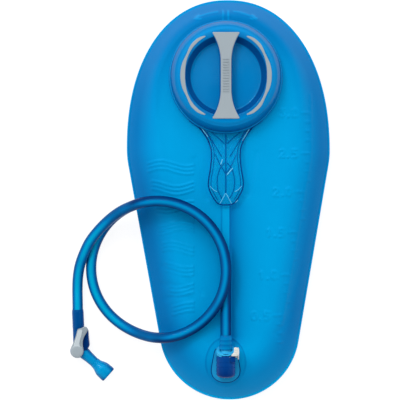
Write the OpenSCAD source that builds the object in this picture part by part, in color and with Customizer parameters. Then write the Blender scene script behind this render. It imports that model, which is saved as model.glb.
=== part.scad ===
// Hydration bladder, lying on its back: welded film bag with a screw-cap fill port,
// a grip below the port, and a drinking tube coiled over the bag to a shut-off bite valve.
// Millimetres. +Y runs to the fill port, +Z up from the ground, X across the bag.

/* [Bag] */
// Half of the bag's greatest width
bag_half_w = 101.4; // [96:0.2:106]
// Top edge of the bag, above the origin
bag_top = 199.5; // [190:0.5:210]
// Radius that blends the widest point into the straight sides
shoulder_r = 25; // [20:5:60]
// Squareness of the bag's rounded top (2 is an ellipse)
top_power = 2.18; // [2:0.02:2.3]
// Lean of the straight sides, in degrees
side_lean = 10; // [8:0.5:11]
// Radius of the bag's round bottom
bottom_r = 70; // [67:0.5:73]
// Centre of the round bottom
bottom_y = -129.5; // [-132:0.5:-126]
// Thickness of each film
film_t = 1; // [0.8:0.1:1.2]
// Height of the welded seam above the ground
seam_z = 14; // [12:1:16]
// Top face of the filled front film
film_top = 36; // [34:1:38]
// Width of the flat welded border
weld_w = 4; // [3:0.5:5]
// Distance over which a film curves from the border to its flat middle
film_rise = 18; // [16:1:20]

/* [Fill port] */
// Centre of the fill port
port_y = 120.8; // [118:0.2:122]
// Outer radius of the threaded neck
neck_r = 47; // [46:0.5:48]
// Wall of the neck
neck_t = 4; // [3:0.5:4.5]
// Top of the neck
neck_top = 50; // [49:0.5:51]
// Outer radius of the collar's ring
collar_r = 56; // [55:0.5:57]
// Distance that the cap rises in one turn
thread_lead = 24; // [24:1:26]
// Number of thread starts
thread_starts = 4; // [3:1:4]

/* [Cap] */
// Outer radius of the cap's top rim
cap_r = 52.5; // [52:0.5:53]
// Top face of the cap
cap_top = 58; // [57:0.5:59]
// Floor of the two finger pockets
pocket_z = 46.5; // [46:0.5:48]
// Radius of the finger pockets at the rim
pocket_r = 39; // [38:0.5:39.5]
// Half of the grip bar's length
bar_half_l = 42; // [40:0.5:43]
// Half of the grip bar's width at its waist
bar_waist = 5.1; // [4.5:0.1:5.5]

/* [Grip] */
// Lower tip of the grip
grip_tip_y = -6; // [-8:1:-4]
// Height of the grip's underside over the middle of the finger gap
grip_arch_z = 44; // [43:0.5:46]

/* [Exit port] */
// Centre of the exit port
exit_y = -165; // [-167:0.5:-164]
// Height of the exit barrel's axis
barrel_z = 46; // [45.5:0.5:47]
// Outer radius of the exit barrel
barrel_r = 9.3; // [9.2:0.1:9.6]
// Travel of the release button
button_travel = 1.5; // [1.2:0.1:1.6]

/* [Drinking tube] */
// Outer diameter of the tube
tube_d = 10.5; // [9.5:0.1:10.5]
// Radius of the tube's loop
loop_r = 67.5; // [67:0.5:68]
// Centre of the loop across the bag
loop_x = -67.3; // [-69:0.1:-66]
// Centre of the loop along the bag
loop_y = -68.7; // [-70:0.1:-67]

/* [Shut-off valve] */
// Place of the lever's pivot across the bag
valve_x = -148; // [-148.5:0.1:-147.5]
// Place of the lever's pivot along the bag
valve_y = -151.2; // [-152:0.1:-150]
// Height of the valve's axis
valve_z = 8.4; // [8.2:0.1:9]
// Direction of the outlet, in degrees from +X
outlet_dir = -41; // [-43:1:-39]

/* [Hidden] */
$fn = 96;
blue = [0.0, 0.50, 0.82];
deep_blue = [0.02, 0.26, 0.58];
grey = [0.68, 0.69, 0.71];
clear = 0.3;

// ---- bag outline: right half, from the top down, as [x, y, normal x, normal y] ----
lean_c = cos(side_lean);
lean_s = sin(side_lean);
side_offset = bottom_r - bottom_y * lean_s;
// Height at which the bag is widest.
shoulder_y = (shoulder_r * (1 - lean_c) - side_offset + bag_half_w * lean_c) / lean_s;
top_len = bag_top - shoulder_y;
function unit(v) = v / norm(v);
function edge(p, n) = [p[0], p[1], n[0], n[1]];
function top_edge(t) =
    edge([bag_half_w * pow(cos(t), 2 / top_power), shoulder_y + top_len * pow(sin(t), 2 / top_power)],
         unit([pow(cos(t), 2 - 2 / top_power) / bag_half_w, pow(sin(t), 2 - 2 / top_power) / top_len]));
function arc_edge(c, r, a) = edge([c[0] + r * cos(a), c[1] + r * sin(a)], [cos(a), sin(a)]);
function shoulder_edge(a) = arc_edge([bag_half_w - shoulder_r, shoulder_y], shoulder_r, a);
function bottom_edge(a) = arc_edge([0, bottom_y], bottom_r, a);
side_start = shoulder_edge(-side_lean);
side_end = bottom_edge(-side_lean);
top_steps = 14;
side_steps = 7;
bottom_steps = 9;
half_edge = concat(
    [for (i = [0:top_steps - 1]) top_edge(90 - 90 * i / top_steps)],
    [for (i = [0:2]) shoulder_edge(-side_lean * i / 3)],
    [for (i = [0:side_steps - 1]) side_start + (side_end - side_start) * i / side_steps],
    [for (i = [0:bottom_steps]) bottom_edge(-side_lean - (90 - side_lean) * i / bottom_steps)]);
half_n = len(half_edge) - 1;
ring_n = 2 * half_n;
full_edge = concat(half_edge,
    [for (i = [half_n - 1:-1:1]) let (e = half_edge[i]) [-e[0], e[1], -e[2], e[3]]]);

// A film: closed rings at [distance in from the edge, height], closed above and below by flat caps.
module film_shell(profile) {
    last = len(profile) - 1;
    points = [for (p = profile) for (e = full_edge) [e[0] - p[0] * e[2], e[1] - p[0] * e[3], p[1]]];
    walls = [for (i = [0:last - 1]) for (k = [0:ring_n - 1])
        let (a = i * ring_n + k, b = i * ring_n + (k + 1) % ring_n)
        each [[a, a + ring_n, b + ring_n], [a, b + ring_n, b]]];
    upper = [for (k = [1:half_n - 1]) each [[k, k + 1, ring_n - k], [k + 1, ring_n - k - 1, ring_n - k]]];
    upper_cap = concat([[0, 1, ring_n - 1]], [for (f = upper) if (f[0] != f[1] && f[1] != f[2]) f]);
    lower_cap = [for (f = upper_cap) [for (v = f) last * ring_n + v % ring_n]];
    polyhedron(points = points,
               faces = concat(upper_cap, walls, [for (f = lower_cap) [f[2], f[1], f[0]]]), convexity = 6);
}

curve_steps = 6;
inner_rise = film_rise - film_t;
// Quarter-ellipse from the weld (angle 0) to the flat middle (angle 90).
function outer_ring(a, dz) = [weld_w + film_rise * (1 - cos(a)), dz * sin(a)];
function inner_ring(a, dz) = [weld_w + film_rise - inner_rise * cos(a), dz * sin(a)];
front_dz = film_top - seam_z - film_t;
back_dz = seam_z - film_t;
front_profile = concat(
    [for (i = [curve_steps:-1:0]) outer_ring(90 * i / curve_steps, front_dz) + [0, seam_z + film_t]],
    [[0, seam_z + film_t], [0, seam_z]],
    [for (i = [0:curve_steps]) inner_ring(90 * i / curve_steps, front_dz) + [0, seam_z]]);
back_profile = concat(
    [for (i = [curve_steps:-1:0]) inner_ring(90 * i / curve_steps, -back_dz) + [0, seam_z]],
    [[0, seam_z], [0, seam_z - film_t]],
    [for (i = [0:curve_steps]) outer_ring(90 * i / curve_steps, -back_dz) + [0, seam_z - film_t]]);

exit_stem_r = 7.5;
module front_film() {
    color(blue, 0.8) difference() {
        film_shell(front_profile);
        translate([0, port_y, film_top - 4]) cylinder(h = 8, r = neck_r + clear);
        translate([0, exit_y, film_top - 4]) cylinder(h = 8, r = exit_stem_r + clear);
    }
}

module back_film() {
    color(blue, 0.8) film_shell(back_profile);
}

// Centre web that keeps the filled bag flat: a strip welded to both films, of I section.
web_top_y = -8;
web_end_y = -138;
module baffle_web() {
    low = film_t;
    high = film_top - film_t;
    color(blue, 0.8) translate([0, web_end_y, 0]) {
        translate([-0.6, 0, low]) cube([1.2, web_top_y - web_end_y, high - low]);
        translate([-3.5, 0, low]) cube([7, web_top_y - web_end_y, 0.8]);
        translate([-3.5, 0, high - 0.8]) cube([7, web_top_y - web_end_y, 0.8]);
    }
}

// ---- screw thread: each start is a helical ridge; r_root is buried in the wall ----
thread_span = 110;
thread_steps = 14;
thread_rise = thread_lead * thread_span / 360;
// Ridge cross-section: root half height, crest half height.
function ridge(r_root, r_crest) = [[r_root, -1.7], [r_crest, -1], [r_crest, 1], [r_root, 1.7]];
module thread_ridges(r_root, r_crest, z_start, turn) {
    section = ridge(r_root, r_crest);
    for (s = [0:thread_starts - 1]) {
        points = [for (i = [0:thread_steps]) for (p = section)
            let (a = turn + 360 * s / thread_starts + thread_span * i / thread_steps)
            [p[0] * cos(a), p[0] * sin(a), z_start + p[1] + thread_rise * i / thread_steps]];
        sides = [for (i = [0:thread_steps - 1]) for (k = [0:3])
            let (a = 4 * i + k, b = 4 * i + (k + 1) % 4)
            each [[a, a + 4, b + 4], [a, b + 4, b]]];
        ends = [[0, 1, 2], [0, 2, 3], [for (v = [2, 1, 0]) 4 * thread_steps + v],
                [for (v = [3, 2, 0]) 4 * thread_steps + v]];
        faces = concat(sides, ends);
        inside_out = [for (f = faces) [f[2], f[1], f[0]]];
        translate([0, port_y, 0])
            polyhedron(points = points, faces = r_crest > r_root ? faces : inside_out);
    }
}

// ---- fill port ----
flange_r = 56.5;
shoulder_top = 41;
module fill_collar() {
    bore = neck_r - neck_t;
    inner_face = film_top - film_t;
    profile = [[bore, inner_face - 1.6], [flange_r, inner_face - 1.6], [flange_r, inner_face],
               [neck_r, inner_face], [neck_r, film_top], [collar_r - 1, film_top],
               [collar_r, film_top + 1.2], [collar_r, shoulder_top - 1.2],
               [collar_r - 1.2, shoulder_top], [collar_r - 3, shoulder_top],
               [collar_r - 4, shoulder_top - 2.2], [neck_r, shoulder_top - 2.2],
               [neck_r, neck_top], [bore, neck_top]];
    color(blue) translate([0, port_y, 0]) rotate_extrude($fn = 128) polygon(profile);
}
module neck_thread() {
    color(blue) thread_ridges(neck_r - 0.4, neck_r + 1.5, shoulder_top - 0.2, 0);
}

// Half width of the grip at a height: flares into the collar, waists, then swells to a round tip.
grip_waist_y = 40;
grip_bulge_y = 16;
function grip_half(y) =
    y > grip_waist_y ? 15 + 17 * pow((y - grip_waist_y) / 30, 2.2)
    : y > grip_bulge_y ? 16.25 + 1.25 * cos(180 * (y - grip_bulge_y) / (grip_waist_y - grip_bulge_y))
    : 17.5 * pow(max(0, 1 - pow((grip_bulge_y - y) / (grip_bulge_y - grip_tip_y), 2)), 0.5);
grip_rows = concat([for (y = [74:-4:grip_bulge_y]) y],
                   [for (a = [15:15:90]) grip_bulge_y - (grip_bulge_y - grip_tip_y) * sin(a)]);
function grip_edge(y, inset) = [max(0, grip_half(y) - inset), max(y, grip_tip_y + inset)];
function grip_outline(inset) = concat(
    [for (y = grip_rows) grip_edge(y, inset)],
    [for (i = [len(grip_rows) - 2:-1:0]) let (e = grip_edge(grip_rows[i], inset)) [-e[0], e[1]]]);
// Side profile of the arch, as [y, underside]: up from the collar, over the fingers, down to the tip.
grip_rise = grip_arch_z - film_top - 1;
arch_y = 58;
function grip_under(y) =
    y > arch_y ? film_top + 1
    : film_top + 1 + grip_rise * pow(sin(180 * (arch_y - max(y, grip_tip_y)) / (arch_y - grip_tip_y)), 0.6);
arch_rows = [for (y = [78:-4:-10]) y];
module grip_slab(thick, inset) {
    intersection() {
        translate([0, 0, film_top]) linear_extrude(height = 20) polygon(grip_outline(inset));
        rotate([90, 0, 90]) translate([0, 0, -40]) linear_extrude(height = 80)
            polygon(concat([for (y = arch_rows) [y, grip_under(y)]],
                           [for (i = [len(arch_rows) - 1:-1:0])
                               let (y = arch_rows[i]) [y, grip_under(y) + thick]]));
    }
}
module port_grip() {
    color(blue, 0.7) difference() {
        union() {
            difference() {
                grip_slab(4, 0);
                translate([0, 0, 1.6]) grip_slab(6, 2.4);
            }
            intersection() {
                grip_slab(3.2, 1);
                translate([-1, grip_tip_y, film_top]) cube([2, 72, 20]);
            }
        }
        translate([0, port_y, film_top - 1]) cylinder(h = 30, r = collar_r);
    }
}

// ---- cap ----
plate_under = neck_top + 1.5;
skirt_low = shoulder_top + 1.5;
skirt_inner = neck_r + 2.4;
pocket_floor_r = 36;
well_r = neck_r - neck_t - 1.5;
module cap_seal() {
    color("dimgray") translate([0, port_y, 0]) rotate_extrude($fn = 128)
        polygon([[neck_r - neck_t + 0.4, neck_top + 0.1], [neck_r - 0.4, neck_top + 0.1],
                 [neck_r - 0.4, plate_under], [neck_r - neck_t + 0.4, plate_under]]);
}

// Outline of the grip bar, grown outward by a margin: straight waist, flared ends.
bar_rows = [-1, -0.97, -0.9, -0.8, -0.7, -0.6, -0.48, -0.3, 0, 0.3, 0.48, 0.6, 0.7, 0.8, 0.9, 0.97, 1];
function bar_flare(t) = abs(t) > 0.28 ? 7.8 * pow((abs(t) - 0.28) / 0.69, 2.3) : 0;
function bar_half(t) = min(bar_waist + bar_flare(t) - (abs(t) > 0.98 ? 1 : 0), 13);
function bar_edge(t, margin) = [bar_half(t) + margin, t * (bar_half_l + margin)];
function bar_outline(margin) = concat(
    [for (t = bar_rows) bar_edge(t, margin)],
    [for (i = [len(bar_rows) - 1:-1:0]) let (e = bar_edge(bar_rows[i], margin)) [-e[0], e[1]]]);

// Grey crescent beside each pocket, its outer edge in three gentle waves.
inlay_half_angle = 59;
inlay_r = pocket_r + 0.9;
function inlay_outer(a) = pocket_r + 4.4 + 0.9 * cos(a * 8) - (abs(a) > 54 ? 2.5 : 0);
function polar(side, r, a) = [side * r * cos(a), r * sin(a)];
function inlay_outline(side) = concat(
    [for (i = [-12:12]) let (a = inlay_half_angle * i / 12) polar(side, inlay_outer(a), a)],
    [for (i = [12:-1:-12]) polar(side, inlay_r, inlay_half_angle * i / 12)]);

inlay_low = cap_top - 1.2;
module cap_shell() {
    profile = [[0, pocket_z - 2.2], [well_r, pocket_z - 2.2],
               [well_r, plate_under], [skirt_inner, plate_under], [skirt_inner, skirt_low],
               [cap_r + 2, skirt_low], [cap_r + 2, skirt_low + 3],
               [cap_r + 0.8, plate_under + 2], [cap_r - 0.8, cap_top - 1.4], [cap_r - 2.6, cap_top],
               [pocket_r, cap_top], [pocket_floor_r, pocket_z], [0, pocket_z]];
    color(deep_blue) difference() {
        translate([0, port_y, 0]) union() {
            rotate_extrude($fn = 128) polygon(profile);
            intersection() {
                translate([0, 0, pocket_z - 1]) linear_extrude(height = cap_top - pocket_z + 1)
                    polygon(bar_outline(1.2));
                translate([0, 0, pocket_z - 1]) cylinder(h = 20, r = pocket_r + 2);
            }
        }
        translate([0, port_y, inlay_low]) linear_extrude(height = 3) {
            polygon(bar_outline(0));
            polygon(inlay_outline(1));
            polygon(inlay_outline(-1));
        }
    }
}
module cap_thread() {
    color(deep_blue) thread_ridges(skirt_inner + 0.4, skirt_inner - 1.5, shoulder_top + 2.8, 0);
}

module cap_grip_bar() {
    color(grey) translate([0, port_y, 0]) {
        translate([0, 0, inlay_low]) linear_extrude(height = cap_top - inlay_low + 0.8)
            polygon(bar_outline(0));
        for (i = [-4:4])
            translate([-bar_waist + 1.6, i * 3.2 - 0.6, cap_top + 0.6])
                cube([2 * bar_waist - 3.2, 1.2, 0.7]);
    }
}

module cap_inlay(side) {
    color(grey) translate([0, port_y, inlay_low]) linear_extrude(height = cap_top - inlay_low + 0.3)
        polygon(inlay_outline(side));
}
module cap_inlay_left() {
    cap_inlay(-1);
}
module cap_inlay_right() {
    cap_inlay(1);
}

// ---- exit port: a flange under the film, and an elbow whose barrel points up the bag ----
function oval(a, b) = [for (i = [0:39]) [a * cos(9 * i), b * sin(9 * i)]];
exit_pad_t = 1;
passage_r = 3.2;
mouth = 15;
seat_end = 5;
seat_start = 3.4;
chamber_r = 5.2;
chamber_low = -5;
socket_r = 6.9;
module along_barrel(offset) {
    translate([0, exit_y + offset, barrel_z]) rotate([-90, 0, 0]) children();
}
module exit_flange() {
    low = film_top - film_t - 1.6;
    color(blue) translate([0, exit_y, 0]) difference() {
        union() {
            translate([0, 0, low]) linear_extrude(height = 1.6) polygon(oval(13.5, 13.5));
            translate([0, 0, low]) cylinder(h = film_top + 1 - low, r = 5.6);
        }
        translate([0, 0, low - 1]) cylinder(h = 10, r = passage_r);
    }
}
// Slot that the latch plate slides in, and the plate's place along the barrel.
latch_y = 11.4;
latch_t = 1.2;
latch_half_z = 7.7;
module exit_body() {
    dome = [for (a = [-90:30:0]) [barrel_r * cos(a), barrel_r * sin(a)]];
    color(deep_blue) difference() {
        union() {
            translate([0, exit_y, film_top]) linear_extrude(height = exit_pad_t) polygon(oval(13.2, 16.5));
            translate([0, exit_y, film_top]) cylinder(h = barrel_z - film_top, r = exit_stem_r);
            along_barrel(0) rotate_extrude() polygon(concat(dome, [[barrel_r, mouth], [0, mouth]]));
            translate([4, exit_y + 3.5, barrel_z - 5]) cube([8.5, 5.2, 11]);
        }
        translate([0, exit_y, film_top - 1]) cylinder(h = 2, r = 5.9);
        translate([0, exit_y, film_top]) cylinder(h = barrel_z - film_top, r = passage_r);
        along_barrel(chamber_low) cylinder(h = seat_start - chamber_low, r = chamber_r);
        along_barrel(seat_start - 1) cylinder(h = seat_end, r = 3.6);
        along_barrel(seat_end) cylinder(h = mouth, r = socket_r);
        translate([-8.8, exit_y + latch_y - latch_t / 2 - 0.15, barrel_z - latch_half_z - 0.2])
            cube([24, latch_t + 0.3, 2 * latch_half_z + 0.4]);
    }
}

// The shut-off poppet, held open by the connector's nose.
nose = 5.6;
poppet_face = seat_start - 2.2;
module poppet() {
    color("white") {
        along_barrel(poppet_face - 1.5) cylinder(h = 1.5, r = 4.3);
        along_barrel(poppet_face - 0.1) cylinder(h = nose - poppet_face, r = 1.2);
        along_barrel(chamber_low + 1.2) cylinder(h = poppet_face - chamber_low - 2.6, r = 1.2);
    }
}
module poppet_seal() {
    color("black") along_barrel(poppet_face) rotate_extrude()
        polygon([[1.3, 0], [3.9, 0], [3.9, 0.7], [1.3, 0.7]]);
}
module poppet_spring() {
    coils = 4;
    step = (poppet_face - 1.6 - chamber_low) / coils;
    color("silver") along_barrel(chamber_low) {
        for (i = [0:coils - 1])
            translate([0, 0, (i + 0.5) * step]) rotate_extrude($fn = 48)
                translate([3, 0]) circle(r = 0.35, $fn = 16);
        for (a = [0, 180])
            rotate([0, 0, a]) translate([3, 0, 0.5 * step])
                cylinder(h = (coils - 1) * step, r = 0.3, $fn = 16);
    }
}

// Male quick connector: grooved plug, finger collar and a three-ridge barb inside the tube.
plug_r = 6.6;
collar_end = mouth + 5;
barb_end = collar_end + 13;
module tube_connector() {
    barbs = [for (i = [0:2]) each [[4.4, collar_end + 2 + 4 * i], [3.5, collar_end + 5.6 + 4 * i]]];
    color([0.25, 0.62, 0.85]) difference() {
        along_barrel(0) rotate_extrude()
            polygon(concat([[2.4, nose], [plug_r - 0.6, nose], [plug_r, nose + 0.6], [plug_r, nose + 1.4],
                            [5.4, nose + 1.4], [5.4, nose + 3.8], [plug_r, nose + 3.8],
                            [plug_r, latch_y - 0.9], [5.3, latch_y - 0.9],
                            [5.3, latch_y + 0.9], [plug_r, latch_y + 0.9],
                            [plug_r, mouth + 0.2], [8.8, mouth + 0.2], [8.8, collar_end - 0.8],
                            [8.2, collar_end], [3.5, collar_end]],
                           barbs, [[3.2, barb_end], [2.4, barb_end]]));
        along_barrel(nose - 1) cylinder(h = 3, r = 2.6);
    }
}
module connector_o_ring() {
    color("black") along_barrel(nose + 2.6) rotate_extrude() translate([6.12, 0]) circle(r = 0.7, $fn = 24);
}

// Release button and the latch plate that it pushes; both slide toward -X.
button_gap = barrel_r + button_travel + 0.3;
module release_button() {
    color("white") translate([0, exit_y + 9.2, 0]) {
        translate([button_gap, 0, barrel_z - 5]) cube([2.6, 12, 10]);
        translate([button_gap, 3.8, barrel_z - 5]) cube([2.6, 8.2, 16.4]);
        translate([5.5, 3.8, barrel_z + barrel_r + 0.5]) cube([button_gap - 3, 8.2, 1.6]);
    }
}
module latch_plate() {
    color("white") difference() {
        union() {
            intersection() {
                along_barrel(latch_y - latch_t / 2) translate([button_travel, 0, 0])
                    cylinder(h = latch_t, r = 8.5);
                translate([-20, exit_y, barrel_z - latch_half_z]) cube([40, 30, 2 * latch_half_z]);
            }
            translate([8, exit_y + latch_y - latch_t / 2, barrel_z - 3])
                cube([button_gap - 8, latch_t, 6]);
        }
        along_barrel(0) translate([button_travel, 0, 0]) cylinder(h = 30, r = 7);
    }
}

// ---- drinking tube: straight off the connector, once and a third round the loop, then to the valve ----
loop_step = 14;
loop_end = 490;
// Height of the tube's centre at each angle round the loop, counted from its first pass at +X.
loop_height = [[0, 42], [84, 42], [98, 41], [112, 33], [126, 19], [140, 9], [154, 5.5], [224, 5.5],
               [238, 8], [252, 16], [266, 30], [280, 40.5], [294, 42], [308, 43], [322, 46], [336, 51],
               [350, 53], [434, 53], [448, 53], [462, 51], [476, 40], [490, 27]];
tube_start = [[0, -145, 46], [0, -138, 46], [0, -130, 45.5], [0, -115, 43.5], [0, -100, 42], [0, -85, 42]];
tube_tail = [[-121, -24, 20.5], [-130, -31.5, 16.5], [-137, -40.5, 13.5], [-142.5, -50.5, 10.5],
             [-146, -60.5, 8], [-147.8, -70.5, 6.5], [-148.5, -80.5, 6], [-148.5, -91, 6],
             [-148.2, -101, 7.5], [-148, -110.5, 8.4], [-148, -119, 8.4], [-148, -128, 8.4]];
function loop_point(a) = [loop_x + loop_r * cos(a), loop_y + loop_r * sin(a), lookup(a, loop_height)];
tube_route = concat(tube_start, [for (a = [0:loop_step:loop_end]) loop_point(a)], tube_tail);
tube_sides = 10;
module drinking_tube() {
    last = len(tube_route) - 1;
    rings = [for (i = [0:last])
        let (along = unit(tube_route[min(i + 1, last)] - tube_route[max(i - 1, 0)]),
             across = unit(cross(along, [0, 0, 1])), up = cross(across, along))
        for (k = [0:tube_sides - 1])
            let (turn = 360 * k / tube_sides)
            tube_route[i] + tube_d / 2 * (cos(turn) * across + sin(turn) * up)];
    sides = [for (i = [0:last - 1]) for (k = [0:tube_sides - 1])
        let (a = i * tube_sides + k, b = i * tube_sides + (k + 1) % tube_sides)
        each [[a, a + tube_sides, b + tube_sides], [a, b + tube_sides, b]]];
    first_end = [for (k = [1:tube_sides - 2]) [0, k, k + 1]];
    last_end = [for (k = [1:tube_sides - 2]) [for (v = [k + 1, k, 0]) last * tube_sides + v]];
    color(blue, 0.8) polyhedron(points = rings, faces = concat(sides, first_end, last_end));
}

// ---- shut-off valve and bite valve, lying on the ground ----
sleeve_start_y = -110;
inlet_y = -130;
sleeve_r = 6.3;
chamber_body_r = 7.8;
rotor_r = 5.4;
body_top = valve_z + 7.4;
rotor_top = body_top - 0.2;
seal_heights = [valve_z - 4, valve_z + 4];
lever_z = body_top + 0.3;
lever_t = 2.8;
module at_valve() {
    translate([valve_x, valve_y, valve_z]) children();
}
// Local +Z runs up the inlet (toward +Y) or out along the outlet.
module along_inlet() {
    at_valve() rotate([-90, 0, 0]) children();
}
module along_outlet() {
    at_valve() rotate([0, 0, outlet_dir]) rotate([0, 90, 0]) children();
}
module tube_sleeve() {
    inlet = inlet_y - valve_y;
    start = sleeve_start_y - valve_y;
    color(deep_blue) along_inlet() rotate_extrude()
        polygon([[5.6, inlet], [sleeve_r, inlet], [sleeve_r, start - 1],
                 [sleeve_r - 0.4, start], [5.6, start]]);
}
module valve_body() {
    inlet = inlet_y - valve_y;
    color(deep_blue) difference() {
        union() {
            translate([valve_x, valve_y, 0.9]) cylinder(h = body_top - 0.9, r = chamber_body_r);
            along_inlet() cylinder(h = inlet - 0.05, r = sleeve_r);
            along_inlet() cylinder(h = inlet + 12, r = 3.4);
            along_outlet() cylinder(h = 21, r = 5.5);
            along_outlet() cylinder(h = 32, r = 4.2);
            translate([valve_x + 4.6, valve_y + 10.5, 2.5]) linear_extrude(height = body_top - 4)
                polygon(oval(6.6, 9.2));
        }
        translate([valve_x, valve_y, 2.6]) cylinder(h = 30, r = rotor_r);
        along_inlet() cylinder(h = inlet + 30, r = 2.3);
        along_outlet() cylinder(h = 60, r = 2.3);
    }
}
// Rotor: a revolved plug with two seal grooves and a stem, cross-drilled to match both passages.
module valve_rotor() {
    plug = rotor_r - 0.05;
    grooves = [for (z = seal_heights)
        each [[plug, z - 0.6], [plug - 1, z - 0.6], [plug - 1, z + 0.6], [plug, z + 0.6]]];
    color("white") difference() {
        translate([valve_x, valve_y, 0]) rotate_extrude()
            polygon(concat([[0, 2.8], [plug, 2.8]], grooves,
                           [[plug, rotor_top], [2.8, rotor_top],
                            [2.8, lever_z + 1.2], [0, lever_z + 1.2]]));
        along_inlet() translate([0, 0, -1.5]) cylinder(h = 20, r = 2.3);
        along_outlet() translate([0, 0, -1.5]) cylinder(h = 20, r = 2.3);
    }
}
module rotor_seals() {
    color("black") for (z = seal_heights)
        translate([valve_x, valve_y, z]) rotate_extrude()
            translate([rotor_r - 0.52, 0]) circle(r = 0.45, $fn = 24);
}

// Lever outline: round hub, narrow arm leaning along the tube, hooked finger end.
lever_lean = 77;
lever_arm = [[2, -4.4], [7, -3.4], [14, -3.2], [18, -4.6], [21, -5.4], [24, -4.2], [25, -1.4],
             [24.6, 2], [22.5, 4], [19, 4], [14, 3.2], [7, 3.6], [2, 5]];
module valve_lever() {
    color([0.78, 0.80, 0.82]) difference() {
        union() {
            translate([valve_x, valve_y, lever_z]) cylinder(h = lever_t, r = 6.5);
            translate([valve_x, valve_y, lever_z]) rotate([0, 0, lever_lean])
                linear_extrude(height = lever_t) polygon(lever_arm);
        }
        translate([valve_x, valve_y, lever_z - 1]) cylinder(h = 2.2, r = 2.8);
    }
}

bite_start = 21.1;
bite_end = 39.5;
module bite_valve() {
    color(blue) difference() {
        along_outlet() rotate_extrude()
            polygon([[4.2, bite_start], [5.8, bite_start], [6, bite_start + 3], [7.4, bite_start + 7.5],
                     [7.7, bite_start + 10], [8.1, bite_end - 2], [7.6, bite_end], [0, bite_end],
                     [0, bite_end - 2], [6, bite_end - 3],
                     [5.8, bite_start + 11.2], [4.2, bite_start + 11]]);
        along_outlet() translate([-4, -0.25, bite_end - 4]) cube([8, 0.5, 6]);
    }
}

front_film();
back_film();
baffle_web();
fill_collar();
neck_thread();
port_grip();
cap_seal();
cap_shell();
cap_thread();
cap_grip_bar();
cap_inlay_left();
cap_inlay_right();
exit_flange();
exit_body();
poppet();
poppet_seal();
poppet_spring();
tube_connector();
connector_o_ring();
release_button();
latch_plate();
drinking_tube();
tube_sleeve();
valve_body();
valve_rotor();
rotor_seals();
valve_lever();
bite_valve();
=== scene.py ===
"""Visual model of a hydration bladder: film bag, fill port and cap, exit port, drinking tube and bite valve.

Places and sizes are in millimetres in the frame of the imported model; MM turns them into Blender's metres.
"""
import math

import bmesh
import bpy
import numpy as np
from mathutils import Matrix, Vector


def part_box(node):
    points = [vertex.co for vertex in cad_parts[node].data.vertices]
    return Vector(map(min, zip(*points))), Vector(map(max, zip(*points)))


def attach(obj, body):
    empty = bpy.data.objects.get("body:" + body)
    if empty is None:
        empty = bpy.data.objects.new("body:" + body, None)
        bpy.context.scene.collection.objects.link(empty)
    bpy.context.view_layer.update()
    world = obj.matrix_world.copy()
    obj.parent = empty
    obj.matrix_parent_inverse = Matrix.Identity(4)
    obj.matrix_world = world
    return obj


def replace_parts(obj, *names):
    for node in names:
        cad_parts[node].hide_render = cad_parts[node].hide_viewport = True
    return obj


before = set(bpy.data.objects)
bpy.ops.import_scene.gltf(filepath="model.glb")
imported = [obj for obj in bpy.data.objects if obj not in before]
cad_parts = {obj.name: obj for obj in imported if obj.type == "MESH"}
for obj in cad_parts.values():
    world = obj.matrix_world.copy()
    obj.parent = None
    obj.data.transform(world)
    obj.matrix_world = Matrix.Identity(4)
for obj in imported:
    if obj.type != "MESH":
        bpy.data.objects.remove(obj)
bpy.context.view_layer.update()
MM = 0.001


def node_box(node):
    """Lowest and highest corner of a CAD node, in millimetres."""
    low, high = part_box(node)
    return np.array(low) / MM, np.array(high) / MM


# ---- driving places and sizes, read from the frame where it has them ----
FILM_LOW, FILM_HIGH = node_box("front_film")
HALF_W = FILM_HIGH[0]
BAG_TOP = FILM_HIGH[1]
FILM_Z = FILM_HIGH[2]
SEAM_Z = FILM_LOW[2]
COLLAR_LOW, COLLAR_HIGH = node_box("fill_collar")
PORT_Y = (COLLAR_LOW[1] + COLLAR_HIGH[1]) / 2
NECK_TOP = COLLAR_HIGH[2]
CAP_TOP = node_box("cap_shell")[1][2]
# The bag's outline: a superellipse at the top, a shoulder arc, a side that leans in, and a round foot.
TOP_POWER = 2.18
SHOULDER_R = 90
LEAN = math.radians(10)
BOTTOM_R = 70
BOTTOM_Y = -129.5
# The filled film sits a little off the line of its ports, more at its lower end.
FILM_SHIFT = 3.3
FILM_SKEW = -0.006
COLLAR_R = 56
GRIP_TIP_Y = -6
STRIPE_HALF = 3.5
EXIT_Y = -165
BARREL_Z = 46
BARREL_R = 9.3
# The shut-off valve's pivot, and the way its outlet points.
VALVE = (-148, -151.2, 8.4)
OUTLET_TURN = -42


def add_object(name, data):
    """A new object in the scene."""
    item = bpy.data.objects.new(name, data)
    bpy.context.scene.collection.objects.link(item)
    return item


# ---- camera: straight above the view's centre, with the view's span measured at the bag's weld ----
VIEW_CENTRE = (-25.3, -0.2)
VIEW_SPAN = 400
CAMERA_HEIGHT = 1500


def add_camera():
    data = bpy.data.cameras.new("camera")
    data.lens = data.sensor_width * CAMERA_HEIGHT / VIEW_SPAN
    data.clip_end = 10
    camera = add_object("camera", data)
    camera.location = (VIEW_CENTRE[0] * MM, VIEW_CENTRE[1] * MM, (SEAM_Z + CAMERA_HEIGHT) * MM)
    bpy.context.scene.camera = camera


add_camera()


# ---- materials ----
def srgb(r, g, b):
    """Linear colour from 0 to 255 display values."""
    return tuple((c / 255) ** 2.2 for c in (r, g, b)) + (1.0,)


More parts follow.
